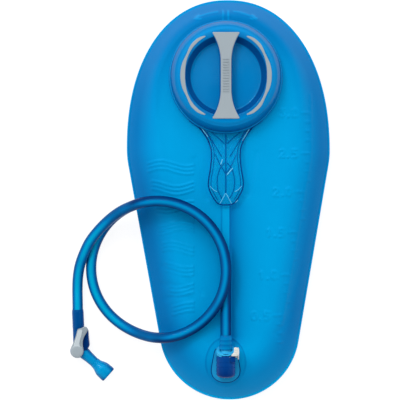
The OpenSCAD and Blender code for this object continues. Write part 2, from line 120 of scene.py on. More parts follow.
class Shader:
    """A material's node tree, with short calls for the nodes that the materials share."""

    def __init__(self, name):
        self.material = bpy.data.materials.new(name)
        self.material.use_nodes = True
        self.nodes = self.material.node_tree.nodes
        self.links = self.material.node_tree.links
        self.surface = self.nodes["Principled BSDF"]
        self.place = self.nodes.new("ShaderNodeTexCoord").outputs["Object"]

    def set(self, name, value):
        self.surface.inputs[name].default_value = value

    def noise(self, scale, detail=2.0):
        node = self.nodes.new("ShaderNodeTexNoise")
        node.inputs["Scale"].default_value = scale
        node.inputs["Detail"].default_value = detail
        self.links.new(self.place, node.inputs["Vector"])
        return node.outputs["Fac"]

    def attribute(self, name):
        node = self.nodes.new("ShaderNodeAttribute")
        node.attribute_name = name
        return node.outputs["Fac"]

    def ramp(self, source, stops):
        """Colour ramp with stops of (place, display colour)."""
        node = self.nodes.new("ShaderNodeValToRGB")
        while len(node.color_ramp.elements) < len(stops):
            node.color_ramp.elements.new(0.5)
        for element, (at, colour) in zip(node.color_ramp.elements, stops):
            element.position = at
            element.color = srgb(*colour)
        self.links.new(source, node.inputs["Fac"])
        return node.outputs["Color"]

    def span(self, source, low, high):
        """Spreads a 0 to 1 value over low to high."""
        node = self.nodes.new("ShaderNodeMapRange")
        node.inputs["To Min"].default_value = low
        node.inputs["To Max"].default_value = high
        self.links.new(source, node.inputs["Value"])
        return node.outputs["Result"]

    def mix(self, source, first, second):
        """Mixes two colours by a source from 0 to 1."""
        node = self.nodes.new("ShaderNodeMix")
        node.data_type = "RGBA"
        node.inputs["A"].default_value = first
        node.inputs["B"].default_value = second
        self.links.new(source, node.inputs["Factor"])
        return node.outputs["Result"]

    def add(self, first, second):
        node = self.nodes.new("ShaderNodeMath")
        node.operation = "ADD"
        self.links.new(first, node.inputs[0])
        self.links.new(second, node.inputs[1])
        return node.outputs[0]

    def colour(self, source):
        self.links.new(source, self.surface.inputs["Base Color"])

    def roughness(self, source):
        self.links.new(source, self.surface.inputs["Roughness"])

    def bump(self, source, distance, strength=1.0):
        node = self.nodes.new("ShaderNodeBump")
        node.inputs["Distance"].default_value = distance
        node.inputs["Strength"].default_value = strength
        self.links.new(source, node.inputs["Height"])
        self.links.new(node.outputs["Normal"], self.surface.inputs["Normal"])


# Tint of the gloss: blue on the blue plastics, as if light came back through them, and white on the rest.
BLUE_SHINE = (0.12, 0.65, 1.0, 1)
PLAIN_SHINE = (1, 1, 1, 1)


def film_material():
    """Blue film: its tone follows the painted attribute, which holds painted light and shade, with faint
    clouding and a fine satin grain.
    """
    s = Shader("blue_film")
    s.set("Specular IOR Level", 0.12)
    s.set("Specular Tint", BLUE_SHINE)
    cloud = s.span(s.noise(18, 4), -0.06, 0.06)
    tone = s.add(s.attribute("tone"), cloud)
    stops = [(0.0, (0, 90, 160)), (0.35, (0, 122, 190)), (0.7, (0, 147, 214)), (1.0, (0, 170, 234))]
    s.colour(s.ramp(tone, stops))
    s.roughness(s.span(s.noise(400), 0.30, 0.42))
    s.bump(s.noise(900, 3), 0.00004, 0.5)
    return s.material


def plastic(name, dark, light, roughness=0.22, coat=0.03, gloss=0.15, shine=BLUE_SHINE, middle=None):
    """Moulded plastic: the tone attribute, which holds each piece's painted light and shade where it has any,
    runs from the dark to the light colour, with a fine mould grain.
    """
    s = Shader(name)
    s.set("Specular Tint", shine)
    s.set("Coat Weight", coat)
    s.set("Coat Roughness", 0.08)
    s.set("Specular IOR Level", gloss)
    tone = s.add(s.attribute("tone"), s.span(s.noise(60, 3), -0.05, 0.05))
    stops = [(0.0, dark), (0.45, middle), (1.0, light)] if middle else [(0.0, dark), (1.0, light)]
    s.colour(s.ramp(tone, stops))
    s.roughness(s.span(s.noise(220), roughness - 0.05, roughness + 0.07))
    s.bump(s.noise(1500, 2), 0.00002, 0.4)
    return s.material


def thin_clear(name, dark, light, cover):
    """Thin clear plastic: most light goes straight through, the rest shows a glossy tinted face."""
    s = Shader(name)
    s.set("Alpha", cover)
    s.set("Specular IOR Level", 0.15)
    s.set("Specular Tint", BLUE_SHINE)
    s.colour(s.mix(s.noise(80), srgb(*dark), srgb(*light)))
    s.roughness(s.span(s.noise(200), 0.05, 0.12))
    s.bump(s.noise(160, 2), 0.00006, 0.3)
    return s.material


def rubber(name, colour):
    s = Shader(name)
    s.set("Specular IOR Level", 0.3)
    s.colour(s.mix(s.noise(150), colour, tuple(c * 1.3 for c in colour[:3]) + (1.0,)))
    s.roughness(s.span(s.noise(300), 0.5, 0.65))
    s.bump(s.noise(900), 0.00005, 0.4)
    return s.material


def steel():
    s = Shader("spring_steel")
    s.set("Metallic", 1.0)
    s.colour(s.mix(s.noise(300), (0.55, 0.55, 0.57, 1), (0.68, 0.68, 0.70, 1)))
    s.roughness(s.span(s.noise(500), 0.25, 0.4))
    return s.material


FILM = film_material()
COLLAR = plastic("collar_plastic", (0, 70, 140), (0, 140, 210))
CAP = plastic("cap_plastic", (0, 50, 124), (0, 142, 212), roughness=0.16, coat=0.06)
GREY = plastic("grey_plastic", (128, 140, 150), (182, 194, 200), roughness=0.38, coat=0.0, shine=PLAIN_SHINE)
NAVY = plastic("navy_plastic", (4, 34, 100), (14, 74, 150), roughness=0.25)
WHITE = plastic("white_plastic", (205, 208, 205), (238, 238, 232), roughness=0.35, coat=0.0,
                shine=PLAIN_SHINE)
PALE = plastic("pale_blue_plastic", (10, 140, 205), (60, 185, 235), roughness=0.25)
LEVER = plastic("lever_plastic", (120, 134, 144), (205, 216, 222), roughness=0.32, coat=0.1,
                shine=PLAIN_SHINE)
VALVE_BLUE = plastic("valve_plastic", (0, 50, 112), (2, 84, 152), roughness=0.22)
BITE = plastic("bite_silicone", (0, 66, 136), (0, 160, 222), roughness=0.25, coat=0.05, gloss=0.25)
# Dark blue of the clear grip's ribs and rim: painted shade for the dark lines that their edges show; also the
# dark weld line round the exit pad.
RIB = plastic("rib_plastic", (0, 48, 118), (0, 112, 184), roughness=0.3)
# Painted highlight colour for the grip's glints.
GLINT = plastic("glint_plastic", (50, 175, 232), (120, 214, 250), roughness=0.3)
CLEAR = thin_clear("thin_clear_plastic", (0, 170, 232), (20, 184, 240), 0.3)
HOSE = plastic("hose_plastic", (0, 40, 96), (0, 172, 214), roughness=0.2, gloss=0.05, middle=(0, 120, 188))
SEAL = rubber("seal_rubber", (0.02, 0.02, 0.022, 1))
STEEL = steel()


# ---- meshes ----
def new_piece(name, points, faces, material, body="root", tone=0.5, sharp=35):
    """A mesh object from points in millimetres, with its material.

    tone is a number or one value per point.
    """
    mesh = bpy.data.meshes.new(name)
    mesh.from_pydata([tuple(float(c) * MM for c in p) for p in points], [], [tuple(f) for f in faces])
    mesh.validate()
    cleaner = bmesh.new()
    cleaner.from_mesh(mesh)
    bmesh.ops.recalc_face_normals(cleaner, faces=cleaner.faces)
    cleaner.to_mesh(mesh)
    cleaner.free()
    values = np.full(len(mesh.vertices), float(tone)) if np.isscalar(tone) else np.asarray(tone, float)
    paint = mesh.attributes.new("tone", "FLOAT", "POINT")
    paint.data.foreach_set("value", values.astype(np.float32))
    mesh.polygons.foreach_set("use_smooth", [True] * len(mesh.polygons))
    mesh.set_sharp_from_angle(angle=math.radians(sharp))
    mesh.materials.append(material)
    piece = add_object(name, mesh)
    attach(piece, body)
    return piece


def soften(piece, width):
    """Rounds a piece's sharp edges by width, in millimetres."""
    bevel = piece.modifiers.new("soft_edges", "BEVEL")
    bevel.width = width * MM
    bevel.segments = 2
    bevel.limit_method = "ANGLE"
    bevel.angle_limit = math.radians(32)
    return piece


def grid_faces(rows, columns, closed=True):
    """Quads of a grid whose rows are rings (closed) or strips (open)."""
    last = columns if closed else columns - 1
    return [(r * columns + c, (r + 1) * columns + c, (r + 1) * columns + (c + 1) % columns,
             r * columns + (c + 1) % columns) for r in range(rows - 1) for c in range(last)]


def lathe_points(profile, sides, place):
    """Rings of a revolved profile of (radius, height) about place's own Z."""
    turns = np.linspace(0, 2 * math.pi, sides, endpoint=False)
    rings = [(place @ Vector((r * math.cos(a), r * math.sin(a), z)))[:] for r, z in profile for a in turns]
    return np.array(rings)


def lathe(name, profile, material, place, body="root", tone=0.5, sides=96, sharp=35):
    """Revolves a closed or axis-to-axis profile.

    tone is a number, one value per profile point, or a function of the points in place's own frame.
    """
    closed = profile[0] == profile[-1]
    rows = profile[:-1] if closed else profile
    points = lathe_points(rows, sides, place)
    faces = grid_faces(len(rows), sides)
    last = (len(rows) - 1) * sides
    if closed:
        faces += [(last + c, c, (c + 1) % sides, last + (c + 1) % sides) for c in range(sides)]
    else:
        faces += [tuple(range(sides))[::-1], tuple(range(last, last + sides))]
    if callable(tone):
        tones = tone(lathe_points(rows, sides, Matrix.Identity(4)))
    else:
        tones = tone if np.isscalar(tone) else np.repeat(np.asarray(tone[:len(rows)], float), sides)
    return new_piece(name, points, faces, material, body, tones, sharp)


def rounded(corners, radius, steps=4):
    """A polyline with its inner corners replaced by arcs of about that radius."""
    out = [corners[0]]
    for before, at, after in zip(corners, corners[1:], corners[2:]):
        a, p, b = np.array(before, float), np.array(at, float), np.array(after, float)
        reach = min(radius, np.linalg.norm(a - p) / 2.01, np.linalg.norm(b - p) / 2.01)
        start = p + (a - p) / np.linalg.norm(a - p) * reach
        end = p + (b - p) / np.linalg.norm(b - p) * reach
        for i in range(steps + 1):
            t = i / steps
            out.append(tuple((1 - t) ** 2 * start + 2 * t * (1 - t) * p + t ** 2 * end))
    out.append(corners[-1])
    return out


def prism(name, outline, low, high, material, body="root", tone=0.5, bevel=0.4, place=None):
    """An outline of (x, y) points extruded from low to high, with softened edges."""
    place = place or Matrix.Identity(4)
    n = len(outline)
    points = [(place @ Vector((x, y, z)))[:] for z in (low, high) for x, y in outline]
    faces = grid_faces(2, n) + [tuple(range(n))[::-1], tuple(range(n, 2 * n))]
    return soften(new_piece(name, points, faces, material, body, tone), bevel)


def block(name, low, high, material, body="root", tone=0.5, bevel=0.5):
    """A box with softened edges."""
    outline = [(low[0], low[1]), (high[0], low[1]), (high[0], high[1]), (low[0], high[1])]
    return prism(name, outline, low[2], high[2], material, body, tone, bevel)


def oval(a, b, n):
    """Outline of n points with half widths a and b."""
    return [(a * math.cos(2 * math.pi * i / n), b * math.sin(2 * math.pi * i / n)) for i in range(n)]


def distances(curve):
    """Distance along a polyline at each of its points."""
    return np.concatenate([[0], np.cumsum(np.linalg.norm(np.diff(curve, axis=0), axis=1))])


def resample(curve, count):
    """That many points, evenly spaced along a polyline."""
    along = distances(curve)
    marks = np.linspace(0, along[-1], count)
    return np.column_stack([np.interp(marks, along, column) for column in curve.T])


def smooth_path(points, spacing):
    """Catmull-Rom curve through the points, resampled at about that spacing."""
    p = np.array(points, float)
    p = np.vstack([2 * p[0] - p[1], p, 2 * p[-1] - p[-2]])
    dense = []
    for a, b, c, d in zip(p, p[1:], p[2:], p[3:]):
        for t in np.linspace(0, 1, 12, endpoint=False):
            dense.append(0.5 * (2 * b + (c - a) * t + (2 * a - 5 * b + 4 * c - d) * t ** 2
                                + (3 * b - a - 3 * c + d) * t ** 3))
    dense.append(p[-2])
    dense = np.array(dense)
    return resample(dense, max(3, int(distances(dense)[-1] / spacing) + 1))


def smooth_outline(points, spacing):
    """The same for a line of (x, y) points."""
    return [tuple(p) for p in smooth_path([(x, y, 0) for x, y in points], spacing)[:, :2]]


def sweep_rings(path, radius, sides):
    """Circles of the radius round each point of a path, without twist."""
    path = np.asarray(path, float)
    heading = np.gradient(path, axis=0)
    heading /= np.linalg.norm(heading, axis=1)[:, None]
    across = np.cross(heading[0], (0, 0, 1.0))
    if np.linalg.norm(across) < 0.1:
        across = np.cross(heading[0], (1.0, 0, 0))
    rings = []
    radii = np.broadcast_to(radius, len(path))
    for centre, along, r in zip(path, heading, radii):
        across = across - along * np.dot(across, along)
        across = across / np.linalg.norm(across)
        up = np.cross(across, along)
        for k in range(sides):
            a = 2 * math.pi * k / sides
            rings.append(centre + r * (math.cos(a) * across + math.sin(a) * up))
    return np.array(rings)


def rod(name, path, radius, material, tone=0.5, sides=8):
    """A solid round rod along a path."""
    points = sweep_rings(path, radius, sides)
    last = len(points) - sides
    faces = grid_faces(len(path), sides) + [tuple(range(sides))[::-1], tuple(range(last, last + sides))]
    return new_piece(name, points, faces, material, tone=tone)


# ---- drinking tube: the CAD tube's route, with its far end up to 3 mm aside ----
TUBE_D = 10.5
TUBE_BORE = 6.2
TUBE_SIDES = 32
ROUTE_STEP = 4
# Painted shade of the hose: how light it is from its middle line seen from above (0) to its side (1),
# standing in for the tinted clear wall's darker sides.
TUBE_SHADE_TONES = [(0, 0.95), (0.2, 0.9), (0.4, 0.66), (0.58, 0.34), (0.72, 0.2), (1, 0.14)]
# The share of that tone left where the bag behind the tube keeps the light out.
TONE_ON_BAG = 0.7
# The loop is a circle seen from above, with its height at angles along it.
LOOP_CENTRE = (-67.3, -68.7)
LOOP_R = 67.5
LOOP_STEP = 14
LOOP_END = 476
LOOP_HEIGHT = [(0, 42), (84, 42), (98, 41), (112, 33), (126, 19), (140, 9), (154, 5.5), (224, 5.5), (238, 8),
               (252, 16), (266, 30), (280, 40.5), (294, 42), (308, 43), (322, 46), (336, 51), (350, 53),
               (434, 53), (448, 53), (462, 51), (476, 40)]
TUBE_START = [(0, -145, 46), (0, -138, 46), (0, -130, 45.5), (0, -115, 43.5), (0, -100, 42), (0, -85, 42)]
TUBE_TAIL = [(-107, -13.4, 31.5), (-117.3, -21.3, 23.5), (-127.3, -31.4, 18.5), (-135.7, -42.3, 15.5),
             (-142, -55.3, 12.5), (-146, -66.5, 9), (-148, -78.5, 6.8), (-148.5, -91, 6),
             (-148.2, -101, 7.5), (-148, -110.5, 8.4), (-148, -119, 8.4), (-148, -128, 8.4)]


def tube_route():
    turns, heights = zip(*LOOP_HEIGHT)
    loop = []
    for a in range(0, LOOP_END + 1, LOOP_STEP):
        x = LOOP_CENTRE[0] + LOOP_R * math.cos(math.radians(a))
        y = LOOP_CENTRE[1] + LOOP_R * math.sin(math.radians(a))
        loop.append((x, y, float(np.interp(a, turns, heights))))
    return smooth_path(TUBE_START + loop + TUBE_TAIL, ROUTE_STEP)


def tube_painted_shade(route, rings):
    """Painted shade of each ring point: dark at the sides, and darker over the bag, mostly on the loop's
    outside.
    """
    centres = np.repeat(route, TUBE_SIDES, axis=0)
    aside = np.sqrt(np.clip(1 - ((rings[:, 2] - centres[:, 2]) / (TUBE_D / 2)) ** 2, 0, 1))
    places, tones = zip(*TUBE_SHADE_TONES)
    on_bag = smooth_step(side_x(centres[:, 1]) - np.abs(centres[:, 0]), -3, 6) * (centres[:, 2] > 12)
    outward = centres[:, :2] - np.array(LOOP_CENTRE)
    outward /= np.linalg.norm(outward, axis=1)[:, None]
    side = ((rings - centres)[:, :2] * outward).sum(axis=1) / (TUBE_D / 2)
    share = TONE_ON_BAG * (1 - 0.75 * smooth_step(side, -0.1, 0.5))
    return np.interp(aside, places, tones) * (1 - (1 - share) * on_bag)


def build_tube():
    """Hollow hose: outer and inner wall joined at both ends."""
    route = tube_route()
    outer = sweep_rings(route, TUBE_D / 2, TUBE_SIDES)
    inner = sweep_rings(route, TUBE_BORE / 2, TUBE_SIDES)
    count = len(outer)
    wall = grid_faces(len(route), TUBE_SIDES)
    faces = wall + [tuple(count + i for i in face[::-1]) for face in wall]
    last = count - TUBE_SIDES
    for c in range(TUBE_SIDES):
        d = (c + 1) % TUBE_SIDES
        faces.append((c, d, count + d, count + c))
        faces.append((last + d, last + c, count + last + c, count + last + d))
    tone = np.tile(tube_painted_shade(route, outer), 2)
    piece = new_piece("hose", np.vstack([outer, inner]), faces, HOSE, tone=tone)
    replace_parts(piece, "drinking_tube")
    return piece, route


# ---- film bag: the width of its weld, and the distance in which the film rises to its full height ----
WELD = 1.5
RISE = 36
FILM_THICKNESS = 0.6
# Points round the outline and rows from the rise to the centre line. The front film carries the relief.
FRONT_GRID = (880, 84)
BACK_GRID = (440, 16)
SIDE_OFFSET = BOTTOM_R - BOTTOM_Y * math.sin(LEAN)
SHOULDER_Y = (SHOULDER_R * (1 - math.cos(LEAN)) - SIDE_OFFSET + HALF_W * math.cos(LEAN)) / math.sin(LEAN)


def half_outline(count):
    """Right half of the bag's outline from the top down, evenly spaced: points and outward normals."""
    t = np.linspace(math.pi / 2, 0, 300)
    top = np.column_stack([HALF_W * np.abs(np.cos(t)) ** (2 / TOP_POWER),
                           SHOULDER_Y + (BAG_TOP - SHOULDER_Y) * np.sin(t) ** (2 / TOP_POWER)])
    a = np.linspace(0, -LEAN, 30)
    shoulder = np.column_stack([HALF_W - SHOULDER_R + SHOULDER_R * np.cos(a),
                                SHOULDER_Y + SHOULDER_R * np.sin(a)])
    b = np.linspace(-LEAN, -math.pi / 2, 200)
    bottom = np.column_stack([BOTTOM_R * np.cos(b), BOTTOM_Y + BOTTOM_R * np.sin(b)])
    curve = np.vstack([top, shoulder[1:], bottom])
    curve[0, 0] = 0
    points = resample(curve, count + 1)
    heading = np.gradient(points, axis=0)
    normals = np.column_stack([-heading[:, 1], heading[:, 0]])
    normals /= np.linalg.norm(normals, axis=1)[:, None]
    normals[0] = (0, 1)
    normals[-1] = (0, -1)
    return points, normals


def full_outline(count):
    """The whole outline as count points and outward normals, from the top round to the top."""
    points, normals = half_outline(count // 2)
    mirror = np.array([-1, 1])
    return np.vstack([points, points[-2:0:-1] * mirror]), np.vstack([normals, normals[-2:0:-1] * mirror])


# How far the centre line reaches up and down, as a share of the outline's own reach.
CORE_SHARE = 0.74


def film_grid(outline, normals, depths, inner_rows):
    """Rings in from the edge at the given depths, then rows that close on a centre line: points, depths."""
    rings = [outline - normals * d for d in depths]
    core = np.column_stack([np.full(len(outline), FILM_SHIFT), outline[:, 1] * CORE_SHARE])
    inner = rings[-1]
    reach = np.linalg.norm(inner - core, axis=1)
    for i in range(1, inner_rows + 1):
        rings.append(inner + (core - inner) * i / inner_rows)
    depth = [np.full(len(outline), d) for d in depths]
    depth += [depths[-1] + reach * i / inner_rows for i in range(1, inner_rows + 1)]
    return np.vstack(rings), np.concatenate(depth)


def smooth_step(value, low, high):
    """0 up to low, 1 from high, and a soft step between them."""
    t = np.clip((value - low) / (high - low), 0, 1)
    return t * t * (3 - 2 * t)


def stroke_distance(points, strokes):
    """Distance from each point to the nearest of some polylines."""
    best = np.full(len(points), 1e9)
    for stroke in strokes:
        for a, b in zip(stroke, stroke[1:]):
            a, b = np.array(a, float), np.array(b, float)
            near = np.where((np.abs(points - (a + b) / 2).max(axis=1)) < np.linalg.norm(b - a) / 2 + 4)[0]
            if not len(near):
                continue
            along = np.clip(((points[near] - a) @ (b - a)) / max(1e-9, (b - a) @ (b - a)), 0, 1)
            gap = np.linalg.norm(points[near] - a - along[:, None] * (b - a), axis=1)
            best[near] = np.minimum(best[near], gap)
    return best


# Strokes of the scale's figures on a cell 4 wide and 7 high.
FIGURES = {
    "0": [[(0, 1), (1, 0), (3, 0), (4, 1), (4, 6), (3, 7), (1, 7), (0, 6), (0, 1)]],
    "1": [[(1, 5.5), (2.4, 7), (2.4, 0)]],
    "2": [[(0, 6), (1, 7), (3, 7), (4, 6), (4, 4.6), (0, 0), (4, 0)]],
    "3": [[(0, 7), (4, 7), (1.8, 4.2), (3, 4.2), (4, 3.2), (4, 1), (3, 0), (1, 0), (0, 1)]],
    "5": [[(4, 7), (0, 7), (0, 4), (3, 4), (4, 3), (4, 1), (3, 0), (0, 0)]],
    ".": [[(1.6, 0), (2.4, 0)]],
}


def figure_strokes(text, x, y, size):
    """A row of figures that ends at x, as polylines."""
    strokes = []
    start = x - len(text) * 6 * size
    for i, mark in enumerate(text):
        strokes += [[(start + (i * 6 + u) * size, y + v * size) for u, v in line] for line in FIGURES[mark]]
    return strokes


SCALE_LEVELS = [("3.0", 86), ("2.5", 46), ("2.0", 8), ("1.5", -32), ("1.0", -74), ("0.5", -114)]
SCALE_INSET = 17


def side_x(y):
    """Half width of the bag at a height on its straight and shoulder stretch."""
    return np.minimum(HALF_W, (SIDE_OFFSET + y * math.sin(LEAN)) / math.cos(LEAN))


def scale_strokes():
    """Volume scale down the bag's right side: a stepped rule, ticks and figures."""
    strokes = [[(side_x(y) - SCALE_INSET, y) for y in range(104, -122, -8)]]
    for text, y in SCALE_LEVELS:
        x = side_x(y) - SCALE_INSET
        strokes.append([(x, y), (x - 9, y)])
        for k in (1, 2, 3):
            strokes.append([(x - 1, y - 9 * k), (x - 5, y - 9 * k)])
        strokes += figure_strokes(text, x - 12, y - 4, 1.05)
    return strokes


WAVE_ROWS = range(36, -106, -20)


def wave_strokes():
    """Rows of plain rolling waves embossed on the bag's left side."""
    strokes = []
    for row, y in enumerate(WAVE_ROWS):
        right = -32
        left = -min(side_x(y) - 24, 84)
        for line in range(3):
            xs = np.linspace(left, right, 22)
            strokes.append([(x, y - 4 * line + 2.6 * math.sin((x - left) / 8 + 1.7 * row)) for x in xs])
    return strokes


ARROW_R = 66


def port_mark_strokes():
    """Alignment dashes and two plain turning arrows above the fill port."""
    strokes = [[(-2.6, 178), (-2.6, 187)], [(2.6, 178), (2.6, 187)]]
    for side in (-1, 1):
        turns = [math.radians(a) for a in range(7, 29, 3)]
        arc = [(side * ARROW_R * math.sin(a), PORT_Y + ARROW_R * math.cos(a)) for a in turns]
        strokes.append(arc)
        tip = arc[-1]
        strokes.append([(tip[0] - side * 4.5, tip[1] + 4), tip, (tip[0] - side * 6.5, tip[1] - 0.5)])
    return strokes


# Centre and half widths of the oval weld round the exit port.
EXIT_WELD = (0, -160.5, 19.7, 24.8)
# Shallow creases in the film, each a line of points.
CREASES = [[(-62, -66), (-44, -74), (-24, -92)], [(-66, -84), (-46, -86), (-30, -88)],
           [(-64, -100), (-50, -95), (-34, -97)], [(-84, 6), (-72, -6), (-66, -22)],
           [(80, -62), (70, -80), (62, -104)], [(64, -112), (58, -124), (50, -132)],
           [(-30, 40), (-22, 22), (-18, 2)], [(30, 46), (26, 24), (22, 6)]]


def port_distance(xy):
    """Distance from the fill port's axis."""
    return np.hypot(xy[:, 0], xy[:, 1] - PORT_Y)


def weld_distance(xy):
    """Distance from the exit port's weld line."""
    x, y, a, b = EXIT_WELD
    return np.abs(np.hypot((xy[:, 0] - x) / a, (xy[:, 1] - y) / b) - 1) * a


def emboss(xy):
    """Raised relief of the film's embossed marks and weld lines, in millimetres."""
    marks = stroke_distance(xy, scale_strokes() + wave_strokes() + port_mark_strokes())
    relief = 0.65 * (1 - smooth_step(marks, 0.5, 1.5))
    relief += 0.25 * (1 - smooth_step(weld_distance(xy), 0.3, 1.4))
    creases = stroke_distance(xy, CREASES)
    relief -= 0.5 * (1 - smooth_step(creases, 0.0, 5.0))
    return relief


def ripple(xy):
    """Slow, even undulation of the filled film."""
    x, y = xy[:, 0], xy[:, 1]
    return (0.22 * np.sin(x / 13 + 0.8 * np.sin(y / 31)) + 0.18 * np.sin(y / 17 + 1.3 * np.sin(x / 23))
            + 0.10 * np.sin((x + y) / 7.5))


def calm_zone(xy):
    """0 at the ports, where the film is held flat, and 1 in the open film."""
    port = smooth_step(port_distance(xy), COLLAR_R + 2, COLLAR_R + 16)
    outlet = smooth_step(np.hypot(xy[:, 0], xy[:, 1] - EXIT_Y), 18, 34)
    return port * outlet


def centre_seam(xy):
    """Height of the film beside the centre weld: level on the left, a step down on the right."""
    x, y = xy[:, 0], xy[:, 1]
    length = smooth_step(y, -150, -134) * (1 - smooth_step(y, 2, 22))
    right = -3.4 * np.exp(-np.abs(x - STRIPE_HALF) / 10) * smooth_step(x, STRIPE_HALF, STRIPE_HALF + 3)
    left = -1.0 * np.exp(-np.abs(x + STRIPE_HALF) / 4) * smooth_step(-x, STRIPE_HALF, STRIPE_HALF + 1.5)
    return (right + left) * length


def film_painted_light(xy, depth):
    """Painted light and shade of the film: painted shade where it turns down to the weld, and painted shadow
    of the inner web seen through the film beside the centre weld.
    """
    x, y = xy[:, 0], xy[:, 1]
    # Painted light on the flat weld at the very edge, then a band of painted shade where the film turns down
    # to it; the band is wider at the bottom and the top.
    stretch = 1 + 0.8 * smooth_step(-y, 110, 180) + 0.5 * smooth_step(y, 120, 180)
    inward = depth / stretch
    tone = np.interp(inward, [0, 0.9, 1.5, 4, 10, 13, 18, 24, 32, 44],
                     [0.8, 0.68, 0.32, 0.27, 0.27, 0.34, 0.48, 0.66, 0.80, 0.86])
    length = smooth_step(y, -152, -134) * (1 - smooth_step(y, -8, 4))
    # Painted shadow of the inner web, seen through the film to the right of the centre weld.
    shade = 0.62 * np.exp(-np.abs(x - STRIPE_HALF) / 9) * (x > STRIPE_HALF)
    edge = 0.25 * np.exp(-((x + STRIPE_HALF + 0.4) / 0.7) ** 2)
    stripe = 0.08 * (np.abs(x) < STRIPE_HALF)
    # Painted highlights on the port marks.
    marks = 0.3 * (1 - smooth_step(stroke_distance(xy, port_mark_strokes()), 0.4, 1.3))
    weld = 0.3 * (1 - smooth_step(weld_distance(xy), 0.2, 1.1)) * smooth_step(y, -180, -164)
    # Painted light towards the bottom, where the sky is dimmer.
    low = 0.3 * smooth_step(-y, 120, 190)
    return tone + low + marks + length * (stripe - shade - edge) - weld


def edge_depths():
    """Ring depths: close together over the weld and the steep turn, then evenly to the flat middle."""
    return [0, 0.5, 0.9] + list(np.linspace(WELD, WELD + RISE, 26))


def dome(xy, depth, height):
    """Height above the weld at a depth from the edge. It rises sooner where the fill port is near."""
    near_port = 1 - smooth_step(port_distance(xy), COLLAR_R, COLLAR_R + 40)
    t = np.clip((depth - WELD) / (RISE * (1 - 0.5 * near_port)), 0, 1)
    return height * np.sin(t * math.pi / 2) ** 0.9


def bag_faces(rows, columns):
    """Ring quads. The last ring lies on the centre line, so its right points stand for their left twins."""
    base = (rows - 1) * columns
    twins = {base + columns - k: base + k for k in range(1, columns // 2)}
    return [tuple(dict.fromkeys(twins.get(i, i) for i in face)) for face in grid_faces(rows, columns)]


def film_sheet(grid):
    """A film seen from above: points, their depths from the edge, and faces."""
    columns, inner_rows = grid
    outline, normals = full_outline(columns)
    outline = outline + np.column_stack([FILM_SHIFT + FILM_SKEW * outline[:, 1], np.zeros(columns)])
    xy, depth = film_grid(outline, normals, edge_depths(), inner_rows)
    return xy, depth, bag_faces(len(xy) // columns, columns)


def film_piece(name, xy, z, faces, tone, offset):
    """A film with its thickness on the side that offset names: -1 below its surface, 1 above it."""
    piece = new_piece(name, np.column_stack([xy, z]), faces, FILM, tone=tone, sharp=60)
    skin = piece.modifiers.new("thickness", "SOLIDIFY")
    skin.thickness = FILM_THICKNESS * MM
    skin.offset = offset
    return piece


def build_front_film():
    """The domed film, with its relief and the hole for the fill port."""
    xy, depth, faces = film_sheet(FRONT_GRID)
    from_port = port_distance(xy)
    rim = SEAM_Z + 1
    relief = calm_zone(xy) * (ripple(xy) - 0.3) + centre_seam(xy) + emboss(xy)
    z = rim + dome(xy, depth, FILM_Z - rim) + smooth_step(depth, 5, 15) * relief
    z = np.where(from_port < COLLAR_R + 3, np.minimum(z, FILM_Z), z)
    hole = from_port < COLLAR_R - 6
    faces = [face for face in faces if not all(hole[i] for i in face)]
    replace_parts(film_piece("front_skin", xy, z, faces, film_painted_light(xy, depth), -1), "front_film")


def build_back_film():
    """The plain film, flat on the ground."""
    xy, depth, faces = film_sheet(BACK_GRID)
    rim = SEAM_Z - 0.2
    # Painted light on the flat weld at the edge, then painted shade where the film turns down to it.
    tone = np.interp(depth, [0, 3, 12, 40], [0.7, 0.35, 0.3, 0.8])
    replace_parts(film_piece("back_skin", xy, rim - dome(xy, depth, rim), faces, tone, 1), "back_film")


# ---- fill port and cap ----
def at(x, y, z):
    return Matrix.Translation((x, y, z))


PORT_PLACE = at(0, PORT_Y, 0)
SIDES = ((-1, "left"), (1, "right"))


def build_collar():
    """Weld flange, outer rim and neck in one section."""
    bore = 43
    neck = 47
    flange = COLLAR_R + 3
    ring = rounded([(neck, 36), (neck, 35.8), (COLLAR_R - 0.5, 35.8), (COLLAR_R, 37), (COLLAR_R, 40),
                    (COLLAR_R - 1.2, 41.2), (COLLAR_R - 2.6, 41.2), (COLLAR_R - 3.6, 39.2), (neck, 39),
                    (neck, NECK_TOP), (bore, NECK_TOP), (bore, 33.4), (flange, 33.4), (flange, 34.8),
                    (neck, 34.8), (neck, 36)], 0.5, 3)
    ring[-1] = ring[0]
    # Painted light on the rim's upward faces and painted shade on its outer wall below.
    tone = [0.45 + 0.5 * (z > 40.6) - 0.3 * (r > COLLAR_R - 0.6 and z < 39) for r, z in ring]
    piece = lathe("collar", ring, COLLAR, PORT_PLACE, tone=tone, sides=160)
    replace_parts(piece, "fill_collar")


def bar_half(t):
    """Half width of the grip bar at a place along it, from -1 to 1."""
    flare = 7.8 * ((abs(t) - 0.28) / 0.69) ** 2.3 if abs(t) > 0.28 else 0
    return min(5.1 + flare, 13)


BAR_HALF_L = 42


def bar_outline(margin):
    """The grip bar's outline, with its points closest at the flared ends."""
    ts = [math.copysign(1 - (1 - abs(u)) ** 1.2, u) for u in np.linspace(-1, 1, 49)]
    right = [(bar_half(t) + margin, PORT_Y + t * (BAR_HALF_L + margin)) for t in ts]
    return right + [(-x, y) for x, y in right[::-1]]


# Inner and outer radius of the grey inlay beside a finger pocket, at angles up from its middle.
INLAY_EDGES = [(0, 39.8, 44.4), (8, 40.0, 44.4), (16, 40.5, 44.2), (24, 41.1, 43.6), (30, 41.5, 43.7),
               (36, 41.9, 44.6), (42, 42.2, 45.4), (52, 42.4, 45.4), (58, 42.4, 44.6), (62, 42.5, 43.6)]
INLAY_END = INLAY_EDGES[-1][0]


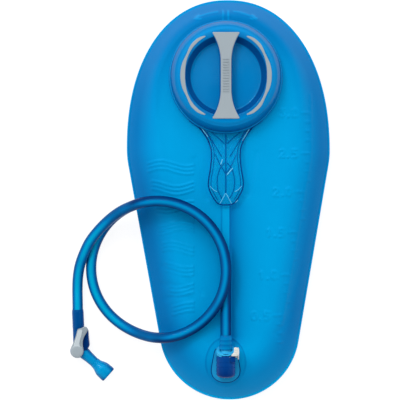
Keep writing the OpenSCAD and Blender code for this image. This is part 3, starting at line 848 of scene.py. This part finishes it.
def inlay_outline(side):
    """Grey crescent beside a finger pocket, with a waved outer edge and tapered ends."""
    turns, inner, outer = zip(*INLAY_EDGES)
    marks = np.linspace(-INLAY_END, INLAY_END, 81)

    def edge(radii, angles):
        arms = np.interp(np.abs(angles), turns, radii)
        return [(side * r * math.cos(math.radians(a)), PORT_Y + r * math.sin(math.radians(a)))
                for r, a in zip(arms, angles)]

    return edge(outer, marks) + edge(inner, marks[::-1])


def cap_painted_light(profile):
    """Painted light and shade: a light pocket floor, painted shade on the pocket wall, a painted highlight
    band just outside the inlays, and painted shade that darkens the rim outward.
    """
    tones = []
    for r, z in profile:
        if r < 34.5 and z < 48:
            tones.append(0.8)
        elif r < 40 and z < CAP_TOP - 0.3:
            tones.append(0.22)
        else:
            tones.append(float(np.interp(r, [40, 42, 46, 49, 52, 54.6], [0.5, 0.6, 0.9, 0.72, 0.5, 0.15])))
    return tones


def build_cap():
    """Cap shell with its pockets, the web under the grip bar, the bar with its ridges, and the inlays."""
    profile = rounded([(0, 46.9), (20, 46.7), (33.9, 46.5), (35.6, 47.4), (38.2, 52), (39.4, CAP_TOP - 0.4),
                       (40, CAP_TOP), (45.5, CAP_TOP), (48.3, 55.9), (49.6, 55.5), (52.6, 50.6), (53.9, 47.6),
                       (54.6, 42.6), (50, 42.6), (49.5, 51.5), (41.5, 51.5), (41.5, 44.4), (0, 44.2)], 1.0, 4)
    shell = lathe("cap", profile, CAP, PORT_PLACE, "cap", cap_painted_light(profile), 160, sharp=50)
    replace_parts(shell, "cap_shell")
    prism("cap_web", bar_outline(1.4), 46.2, CAP_TOP - 0.9, CAP, "cap", 0.35, 1.2)
    grey = (GREY, "cap")
    bar = prism("grip_bar", bar_outline(0), CAP_TOP - 1.2, CAP_TOP + 0.8, *grey, 0.5, 0.6)
    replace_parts(bar, "cap_grip_bar")
    for i in range(-6, 7):
        y = PORT_Y + i * 2.6
        low = (-3.0, y - 0.6, CAP_TOP + 0.6)
        high = (3.0, y + 0.6, CAP_TOP + 1.35)
        block(f"grip_ridge_{i + 7:02d}", low, high, *grey, 0.3, 0.3)
    for side, word in SIDES:
        inlay = prism(f"inlay_{word}", inlay_outline(side), CAP_TOP - 1.2, CAP_TOP + 0.35, *grey, 0.45, 0.3)
        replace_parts(inlay, f"cap_inlay_{word}")


# ---- grip below the port ----
# Half width of the grip at heights from the collar down to its blunt tip.
GRIP_HALF = [(78, 36), (75, 32), (71.5, 26.8), (65, 21.4), (60, 18.2), (54, 15.8), (50, 14.5), (45, 14.1),
             (40, 14.1), (35, 14.6), (30, 15.2), (25, 16), (20, 16.9), (15, 17.1), (11, 16.6), (6, 14.4),
             (2, 12.2), (-1.5, 9.8), (-4, 7), (-4.8, 4), (-5, 0)]
GRIP_ARCH_Y = 58
ARCH_RISE = 7
# The grip's ribs: name, points on the right, rise over the arch, radius and material. The ribs' dark material
# is painted shade; the peak and the facet take the painted highlight colour.
GRIP_RIBS = [
    ("grip_spine", [(0, 64), (0, 40), (0, 20), (0, 6)], 1.6, 0.6, RIB),
    ("grip_rib_a", [(13.8, 66), (7, 60.5), (1.2, 55)], 1.8, 0.42, RIB),
    ("grip_rib_b", [(19, 67), (12, 55.5), (4.2, 42.5)], 1.8, 0.5, RIB),
    ("grip_rib_c", [(10.5, 45), (6, 35), (0.6, 26)], 1.8, 0.4, RIB),
    ("grip_leaf", [(1.5, 36), (6, 30), (8.6, 18.5), (7.2, 8), (3.8, 1.5)], 1.8, 0.45, RIB),
    ("grip_peak", [(5.6, -3.6), (2.6, 2), (0.1, 6.5)], 1.8, 0.4, GLINT),
    ("grip_facet", [(15.4, 13.5), (12.5, 10), (8.8, 8)], 1.9, 0.35, GLINT),
]
# Painted glints on the clear grip: short bright rods, from end to end.
GRIP_GLINTS = [
    ("glint_a", (-3.4, 39.5), (-5, 34.6)),
    ("glint_b", (6.6, 31), (1.2, 24.6)),
    ("glint_c", (11.8, -0.5), (8.6, -3)),
    ("glint_d", (-24, 71), (-17.5, 62)),
    ("glint_e", (23, 69.5), (16.5, 58)),
]


def grip_z(y):
    """Underside of the arch, which a hand can reach under."""
    if y > GRIP_ARCH_Y:
        return FILM_Z + 1
    reach = (GRIP_ARCH_Y - max(y, GRIP_TIP_Y)) / (GRIP_ARCH_Y - GRIP_TIP_Y)
    return FILM_Z + 1 + ARCH_RISE * math.sin(math.pi * reach) ** 0.6


def lifted(line, rise):
    """A line seen from above, laid over the arch."""
    return [(x, y, grip_z(y) + rise) for x, y in line]


def collar_edge_y(x):
    """The collar's lower edge beside its middle."""
    return PORT_Y - math.sqrt(COLLAR_R ** 2 - x ** 2)


def grip_rib(name, points, rise, radius, material):
    """One moulded rib of the grip, and its twin. One on the centre line stands alone."""
    for side, word in SIDES:
        path = smooth_path(lifted([(side * x, y) for x, y in points], rise), 1.5)
        rod(f"{name}_{word}", path, radius, material)
        if all(x == 0 for x, y in points):
            break


def build_grip_plate(edge):
    """Thin clear arch between the edge and its left-hand twin."""
    columns = 13
    across = [2 * c / (columns - 1) - 1 for c in range(columns)]
    points = []
    for rise in (0.3, 1.7):
        for x, y in edge:
            points += [(max(x - 0.6, 0.05) * share, y, grip_z(y) + rise) for share in across]
    rows = len(edge)
    count = rows * columns
    top = grid_faces(rows, columns, closed=False)
    faces = [face[::-1] for face in top] + [tuple(count + i for i in face) for face in top]
    border = ([r * columns for r in range(rows)] + [(rows - 1) * columns + c for c in range(1, columns)]
              + [r * columns + columns - 1 for r in range(rows - 2, -1, -1)]
              + list(range(columns - 2, 0, -1)))
    faces += [(a, b, count + b, count + a) for a, b in zip(border, border[1:] + border[:1])]
    plate = new_piece("grip_plate", points, faces, CLEAR, tone=0.6)
    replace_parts(plate, "port_grip")


def build_grip():
    smooth = smooth_outline([(x, y) for y, x in GRIP_HALF], 2.0)
    edge = [(x, y) for x, y in smooth if y < collar_edge_y(x) + 3]
    build_grip_plate(edge)
    for side, word in SIDES:
        rim = [(side * x, y) for x, y in edge[::2]] + [(0, edge[-1][1])]
        bead = [(side * max(0, x - 2.6), y + 0.4) for x, y in edge[4:-6:2]]
        # The rim is painted darkest, as the grip's dark outline: painted shade.
        rod(f"grip_rim_{word}", smooth_path(lifted(rim, 2.0), 1.5), 0.62, RIB, 0.1, 10)
        rod(f"grip_bead_{word}", smooth_path(lifted(bead, 1.8), 1.5), 0.35, RIB, 0.35)
    for rib in GRIP_RIBS:
        grip_rib(*rib)
    for name, (x0, y0), (x1, y1) in GRIP_GLINTS:
        path = smooth_path(lifted([(x0, y0), ((x0 + x1) / 2, (y0 + y1) / 2), (x1, y1)], 2.2), 1)
        rod(name, path, 0.4, GLINT, 0.9)


# ---- exit port ----
# The barrel and the connector share an axis along Y, from the barrel's middle.
BARREL_PLACE = at(0, EXIT_Y, BARREL_Z) @ Matrix.Rotation(-math.pi / 2, 4, "X")
MOUTH = 15
COLLAR_END = 20
BARB_END = 33
# Half width of the exit port's pad at heights from its top to its round lower end.
PAD_HALF = [(-146, 6), (-147, 9.4), (-150, 10.8), (-156, 12), (-163, 13.3), (-169, 13.8), (-174, 12.4),
            (-177.5, 9), (-179.6, 4.6), (-180, 0)]


def mirrored(line):
    """A right-hand edge from the top down, closed with its left-hand twin."""
    return line + [(-x, y) for x, y in line[::-1] if x > 0.01]


def build_pad():
    """Pale pad on the film, with the weld line round it."""
    edge = mirrored(smooth_outline([(x, y) for y, x in PAD_HALF], 1.5))
    prism("exit_pad", edge, FILM_Z - 0.8, FILM_Z + 0.6, PALE, tone=0.35, bevel=0.5)
    seam = [(x * 1.03, y, FILM_Z + 0.35) for x, y in edge[2:-2]]
    rod("exit_seam", smooth_path(seam, 1.5), 0.42, RIB, 0.2)


def barrel_profile():
    """Round closed end, two grooves, and the open mouth with its stepped bore."""
    end = [(BARREL_R * abs(math.cos(a)) ** 0.7, -4.5 - 4.8 * math.sin(-a) ** 0.8 if a < 0 else -4.5)
           for a in np.linspace(-math.pi / 2, 0, 11)]
    groove = BARREL_R - 0.3
    outside = end + [(BARREL_R, 1), (groove, 1.3), (groove, 2.1), (BARREL_R, 2.4), (BARREL_R, 5.2),
                     (groove, 5.5), (groove, 6.3), (BARREL_R, 6.6), (BARREL_R, 11), (BARREL_R - 0.8, 11.8)]
    return outside + [(6.9, 11.8), (6.9, 5), (3.6, 5), (3.6, 3.4), (0, 3.4)]


def build_exit():
    build_pad()
    profile = barrel_profile()
    # Painted shade: the barrel darkens towards its round closed end, which faces away from the lamps.
    tone = [0.25 + 0.5 * float(smooth_step(z, -9, 6)) for r, z in profile]
    barrel = lathe("exit_barrel", profile, NAVY, BARREL_PLACE, tone=tone, sides=72)
    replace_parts(barrel, "exit_body")
    stem = [(0, FILM_Z), (7.5, FILM_Z), (7.5, BARREL_Z - 4), (0, BARREL_Z - 4)]
    lathe("exit_stem", stem, NAVY, at(0, EXIT_Y, 0), tone=0.3, sides=48)
    mouth_place = BARREL_PLACE @ at(0, 0, 11.6)
    prism("barrel_mouth", oval(6.8, BARREL_R - 0.6, 48), 0, MOUTH - 12, NAVY, "root", 0.3, 0.3, mouth_place)
    low = (4, EXIT_Y + 6.6, BARREL_Z - 5)
    high = (9.2, EXIT_Y + 12.6, BARREL_Z + 9.2)
    block("button_guard", low, high, NAVY, bevel=0.9)


# The connector's collar leans back, so that its upper face shows.
COLLAR_LEAN = math.radians(30)


def build_connector():
    """Plug with its O-ring groove and barb, the leaning collar, and the ribbed cuff on the tube's end."""
    plug = [(2.4, 5.6), (6.0, 5.6), (6.6, 6.2), (6.6, 7), (5.4, 7), (5.4, 9.4), (6.6, 9.4), (6.6, 10.5),
            (5.3, 10.5), (5.3, 12.3), (6.4, 12.3), (6.4, MOUTH + 0.5), (5.4, MOUTH + 2), (4.6, COLLAR_END)]
    for i in range(3):
        plug += [(4.3, COLLAR_END + 1.6 + 4 * i), (3.4, COLLAR_END + 5.2 + 4 * i)]
    plug += [(3.0, BARB_END), (2.4, BARB_END), (2.4, 5.6)]
    body = lathe("connector", plug, PALE, BARREL_PLACE, tone=0.7, sides=72)
    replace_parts(body, "tube_connector")
    tilt = BARREL_PLACE @ at(0, 0, MOUTH + 1.6) @ Matrix.Rotation(COLLAR_LEAN, 4, "X")
    ring = [(0, -1.9), (8.8, -1.9), (9.3, -1.4), (9.3, -0.5), (8.9, -0.1), (8.9, 0.5), (9.3, 0.9), (9.3, 1.6),
            (8.8, 2.1), (6.4, 2.1), (6.0, 1.7), (0, 1.7)]
    # Painted light on the collar's outer bands, painted shade in its groove and on its inner faces.
    tone = [0.75, 0.75, 0.95, 0.9, 0.35, 0.35, 0.95, 0.9, 0.8, 0.5, 0.3, 0.3]
    collar = lathe("connector_collar", ring, PALE, tilt, tone=tone, sides=72)
    # Radius, place past the collar and tone of the cuff's ribs: painted light on the crests, painted shade
    # between them.
    ribs = [(5.4, -1.6, 0.3), (6.3, -1.6, 0.35), (6.5, 0, 0.6), (6.1, 3.4, 0.35), (6.5, 4.6, 0.6),
            (6.0, 7.6, 0.35), (6.3, 8.8, 0.55), (5.7, 12, 0.35), (5.4, 12.6, 0.3), (5.4, -1.6, 0.3)]
    sleeve = [(r, COLLAR_END + z) for r, z, tone in ribs]
    cuff = lathe("hose_end", sleeve, HOSE, BARREL_PLACE, tone=[tone for r, z, tone in ribs], sides=48)
    return [body, collar, cuff]


# Outline of the release button's top, clockwise from its inner upper corner.
BUTTON_TOP = [(7.6, -143.6), (9.8, -143.2), (11.6, -144.3), (12.9, -147.4), (12.4, -150.8), (10.8, -152),
              (4.8, -152), (5.6, -150.3), (7.6, -148.4), (7.8, -146)]


def build_button():
    """Thumb tab over the barrel, the side and foot that carry it, and the tab's grip ridges."""
    white = (WHITE, "release")
    gap = BARREL_R + 1.8
    crest = BARREL_Z + BARREL_R
    tab = prism("button_tab", BUTTON_TOP, crest + 0.4, crest + 2.4, *white, 0.6, 0.8)
    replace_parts(tab, "release_button")
    # The side is painted darker than the tab and the foot darker still: painted shade.
    block("button_side", (gap, -152.4, BARREL_Z - 5), (gap + 1.6, -144.6, crest + 1.4), *white, 0.4, 0.7)
    block("button_foot", (gap, -155.8, BARREL_Z - 5), (gap + 1.6, -151.8, BARREL_Z + 5), *white, 0.1, 0.7)
    for i in range(3):
        y = -149.8 + 2 * i
        low = (8.6, y - 0.35, crest + 2.2)
        high = (11.4, y + 0.35, crest + 2.7)
        block(f"button_ridge_{i + 1}", low, high, *white, 0.3, 0.2)


# ---- shut-off valve and bite valve ----
def turned(degrees, axis):
    return Matrix.Rotation(math.radians(degrees), 4, axis)


# The inlet and the outlet are turned about their own axes, from near the valve's pivot.
INLET_PLACE = at(VALVE[0] + 1.7, VALVE[1], VALVE[2]) @ turned(2.4, "Z") @ turned(-90, "X")
OUTLET_PLACE = at(VALVE[0] + 1.7, VALVE[1] + 1.8, VALVE[2]) @ turned(OUTLET_TURN, "Z") @ turned(90, "Y")
PIVOT_PLACE = at(VALVE[0], VALVE[1], 0)
BODY_TOP = VALVE[2] + 7.4
LEVER_Z = BODY_TOP + 0.3
# Outline of the valve body's dark side lobe, seen from above, from the pivot.
SIDE_LOBE = [(0, 2), (2, 12), (6, 21), (9.5, 23), (10.8, 19), (11.3, 12), (12, 6), (11.4, 3), (7.5, -0.8),
             (3, -2)]


def nozzle_painted_shade(points):
    """Painted light along the top of the nozzle and painted shade down its sides."""
    return 0.8 - 0.7 * smooth_step(np.abs(points[:, 1]) / 6, 0.25, 1)


def build_valve():
    """Sleeve over the tube's end, the inlet in it, the valve chamber with its side lobe, and the nozzle."""
    over_tube = [(5.3, 22), (5.85, 22), (5.85, 38.6), (5.6, 41), (5.4, 41.2), (5.3, 41), (5.3, 22)]
    sleeve = lathe("sleeve", rounded(over_tube, 0.4, 3), VALVE_BLUE, INLET_PLACE, tone=0.7, sides=56)
    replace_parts(sleeve, "tube_sleeve")
    spigot = [(0, 3), (5.9, 3), (5.8, 21.9), (3.4, 21.9), (3.2, 34), (0, 34)]
    inlet = lathe("valve_inlet", rounded(spigot, 0.5, 3), VALVE_BLUE, INLET_PLACE, tone=0.6, sides=56)
    cup = [(5.5, 2.6), (5.5, BODY_TOP), (6.4, BODY_TOP), (7.0, BODY_TOP - 1), (7.0, 1.8), (6.2, 0.9),
           (0, 0.9), (0, 2.6)]
    chamber = lathe("valve_chamber", rounded(cup, 0.3, 3), VALVE_BLUE, PIVOT_PLACE, tone=0.4, sides=64)
    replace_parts(chamber, "valve_body")
    lobe = [(VALVE[0] + x, VALVE[1] + y) for x, y in SIDE_LOBE]
    shoulder = prism("valve_shoulder", lobe, 2.4, BODY_TOP - 1.4, VALVE_BLUE, tone=0.0, bevel=2.0)
    spout = [(0, 0), (6.2, 0), (6.0, 8), (5.4, 13), (5.0, 20.6), (4.2, 21), (4.1, 31), (0, 31)]
    nozzle = lathe("valve_nozzle", rounded(spout, 0.8, 3), BITE, OUTLET_PLACE, tone=nozzle_painted_shade, sides=48)
    return [sleeve, chamber, inlet, shoulder, nozzle]


def build_bite_valve():
    """Soft mouthpiece: a flared bell, flattened at the lips, with a dimple between them."""
    profile = rounded([(4.3, 31), (4.3, 20.6), (5.3, 20.4), (5.5, 23.6), (7.9, 29.6), (8.2, 31.4),
                       (8.5, 37.6), (8.1, 39.6), (1.2, 39.2), (0.4, 37.6), (0, 37.4)], 0.8, 4)
    sides = 64
    points = lathe_points(profile, sides, Matrix.Identity(4))
    points[:, 0] *= 1 - 0.28 * smooth_step(points[:, 2], 27, 39)
    placed = np.array([(OUTLET_PLACE @ Vector(p))[:] for p in points])
    faces = grid_faces(len(profile), sides)
    faces += [tuple(range(sides)), tuple(range((len(profile) - 1) * sides, len(profile) * sides))]
    # Painted light and shade: lightest round the bell's middle, darker towards the lips' end, and painted
    # shade down the sides.
    along = np.interp(points[:, 2], [20, 24, 29, 33, 37, 40], [0.7, 0.75, 0.95, 0.95, 0.8, 0.3])
    side = np.clip(np.abs(points[:, 1]) / 8, 0, 1)
    tone = along - 0.65 * smooth_step(side, 0.4, 1.0)
    piece = new_piece("mouthpiece", placed, faces, BITE, tone=tone, sharp=50)
    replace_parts(piece, "bite_valve")
    return [piece]


# Outline of the lever from its hub to its hooked finger end, seen from above, from the pivot.
LEVER_OUTLINE = [(-6.4, 0), (-5.8, 4), (-3.9, 8), (-1.6, 14.4), (0, 20), (1.0, 22.2), (4.2, 23.2),
                 (7.2, 24.6), (9.6, 24), (10.4, 21.4), (9.6, 18.6), (7.4, 15), (6.0, 11), (5.7, 6.5),
                 (6.3, 3), (6.4, 0), (4.6, -4.4), (0, -6.4), (-4.6, -4.4), (-6.4, 0)]
# Outline of the lever's raised left face, painted light as the lever's lit side.
LEVER_FACE = [(-4.4, 2), (-2.6, 8.5), (-0.4, 15), (1.2, 20.6), (4.4, 21.8), (5.4, 20), (4.4, 15), (2.8, 9),
              (3.4, 3)]


def from_pivot(line):
    """A smooth outline in the frame, from points measured from the lever's pivot."""
    return smooth_outline([(VALVE[0] + x, VALVE[1] + y) for x, y in line], 0.8)


def build_lever():
    """Arm, its raised face, and the rounded cap over its hub."""
    outline = from_pivot(LEVER_OUTLINE)[:-1]
    # Painted shade on the arm, the lever's shaded right side, against the raised face's painted light.
    arm = prism("lever_arm", outline, LEVER_Z, LEVER_Z + 2.3, LEVER, "lever", 0.25, 0.9)
    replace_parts(arm, "valve_lever")
    outline = from_pivot(LEVER_FACE)
    face = prism("lever_face", outline, LEVER_Z + 1.2, LEVER_Z + 3.2, LEVER, "lever", 0.85, 0.9)
    dish = rounded([(0, 1), (6.2, 1), (6.5, 1.6), (6.2, 2.6), (5.2, 3.3), (3, 3.5), (0, 3.5)], 0.5, 3)
    hub = lathe("lever_hub", dish, LEVER, PIVOT_PLACE @ at(0, 0, LEVER_Z), "lever", 0.4, 56)
    return [arm, face, hub]


# ---- CAD nodes shown as they are, floor and light ----
NODE_MATERIALS = {
    "baffle_web": FILM, "neck_thread": COLLAR, "cap_thread": CAP, "cap_seal": SEAL, "exit_flange": COLLAR,
    "poppet": WHITE, "poppet_seal": SEAL, "poppet_spring": STEEL, "connector_o_ring": SEAL,
    "latch_plate": WHITE, "valve_rotor": WHITE, "rotor_seals": SEAL,
}
# The floor lies just under the bag, so that the two don't flicker through each other.
FLOOR_Z = -0.6
FLOOR_REACH = 3000


def dress_nodes():
    for node, material in NODE_MATERIALS.items():
        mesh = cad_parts[node].data
        mesh.materials.clear()
        mesh.materials.append(material)


def build_floor():
    """Pale floor that gives off most of its own light, so that it stays even and white."""
    mesh = bpy.data.meshes.new("floor")
    corners = [(-1, -1), (1, -1), (1, 1), (-1, 1)]
    mesh.from_pydata([(x * FLOOR_REACH * MM, y * FLOOR_REACH * MM, FLOOR_Z * MM) for x, y in corners],
                     [], [(0, 1, 2, 3)])
    s = Shader("floor_paint")
    s.set("Specular IOR Level", 0.0)
    s.set("Emission Color", (1, 1, 1, 1))
    s.set("Emission Strength", 0.88)
    s.colour(s.mix(s.noise(3), (0.20, 0.20, 0.20, 1), (0.23, 0.23, 0.23, 1)))
    s.roughness(s.span(s.noise(8), 0.8, 0.9))
    mesh.materials.append(s.material)
    add_object("floor", mesh)


def add_area_light(name, place, size, power):
    """A round lamp at a place in metres, turned to the origin."""
    data = bpy.data.lights.new(name, "AREA")
    data.shape = "DISK"
    data.size = size
    data.energy = power
    light = add_object(name, data)
    light.location = place
    light.rotation_euler = (-Vector(place)).to_track_quat("-Z", "Y").to_euler()


# The studio sky: soft, and dark straight above, where flat glossy faces would mirror it. A pair is the height
# of a direction and the sky's level there, where the fade to dark starts and where it ends.
ZENITH_EDGES = ((0.78, 0.95), (0.94, 0.1))
# The share of that level past the bag's foot and past its top.
FRONT_SHARE = 0.6
BACK_SHARE = 1.3


def spread(nodes, links, source, start, end, soft=False):
    """A Map Range node from the start pair (value, result) to the end pair."""
    node = nodes.new("ShaderNodeMapRange")
    if soft:
        node.interpolation_type = "SMOOTHSTEP"
    for socket, value in zip(("From Min", "To Min", "From Max", "To Max"), start + end):
        node.inputs[socket].default_value = value
    links.new(source, node.inputs["Value"])
    return node.outputs["Result"]


def add_sky():
    world = bpy.data.worlds.new("studio")
    world.use_nodes = True
    nodes = world.node_tree.nodes
    links = world.node_tree.links
    heading = nodes.new("ShaderNodeSeparateXYZ")
    links.new(nodes.new("ShaderNodeTexCoord").outputs["Generated"], heading.inputs["Vector"])
    fade = spread(nodes, links, heading.outputs["Z"], ZENITH_EDGES[0], ZENITH_EDGES[1], soft=True)
    lean = spread(nodes, links, heading.outputs["Y"], (-1, FRONT_SHARE), (1, BACK_SHARE))
    level = nodes.new("ShaderNodeMath")
    level.operation = "MULTIPLY"
    links.new(fade, level.inputs[0])
    links.new(lean, level.inputs[1])
    links.new(level.outputs["Value"], nodes["Background"].inputs["Strength"])
    nodes["Background"].inputs["Color"].default_value = (1, 1, 1, 1)
    bpy.context.scene.world = world


def add_lights():
    add_sky()
    add_area_light("key", (-0.4, 0.95, 1.85), 1.8, 14)
    add_area_light("glint", (-0.75, 1.0, 1.6), 0.4, 5)
    bpy.context.scene.view_settings.view_transform = "Standard"


hose, hose_route = build_tube()
build_front_film()
build_back_film()
build_collar()
build_cap()
build_grip()
build_exit()
hose_pieces = build_connector()
build_button()
hose_pieces += build_valve()
hose_pieces += build_bite_valve()
hose_pieces += build_lever()
dress_nodes()
build_floor()
add_lights()
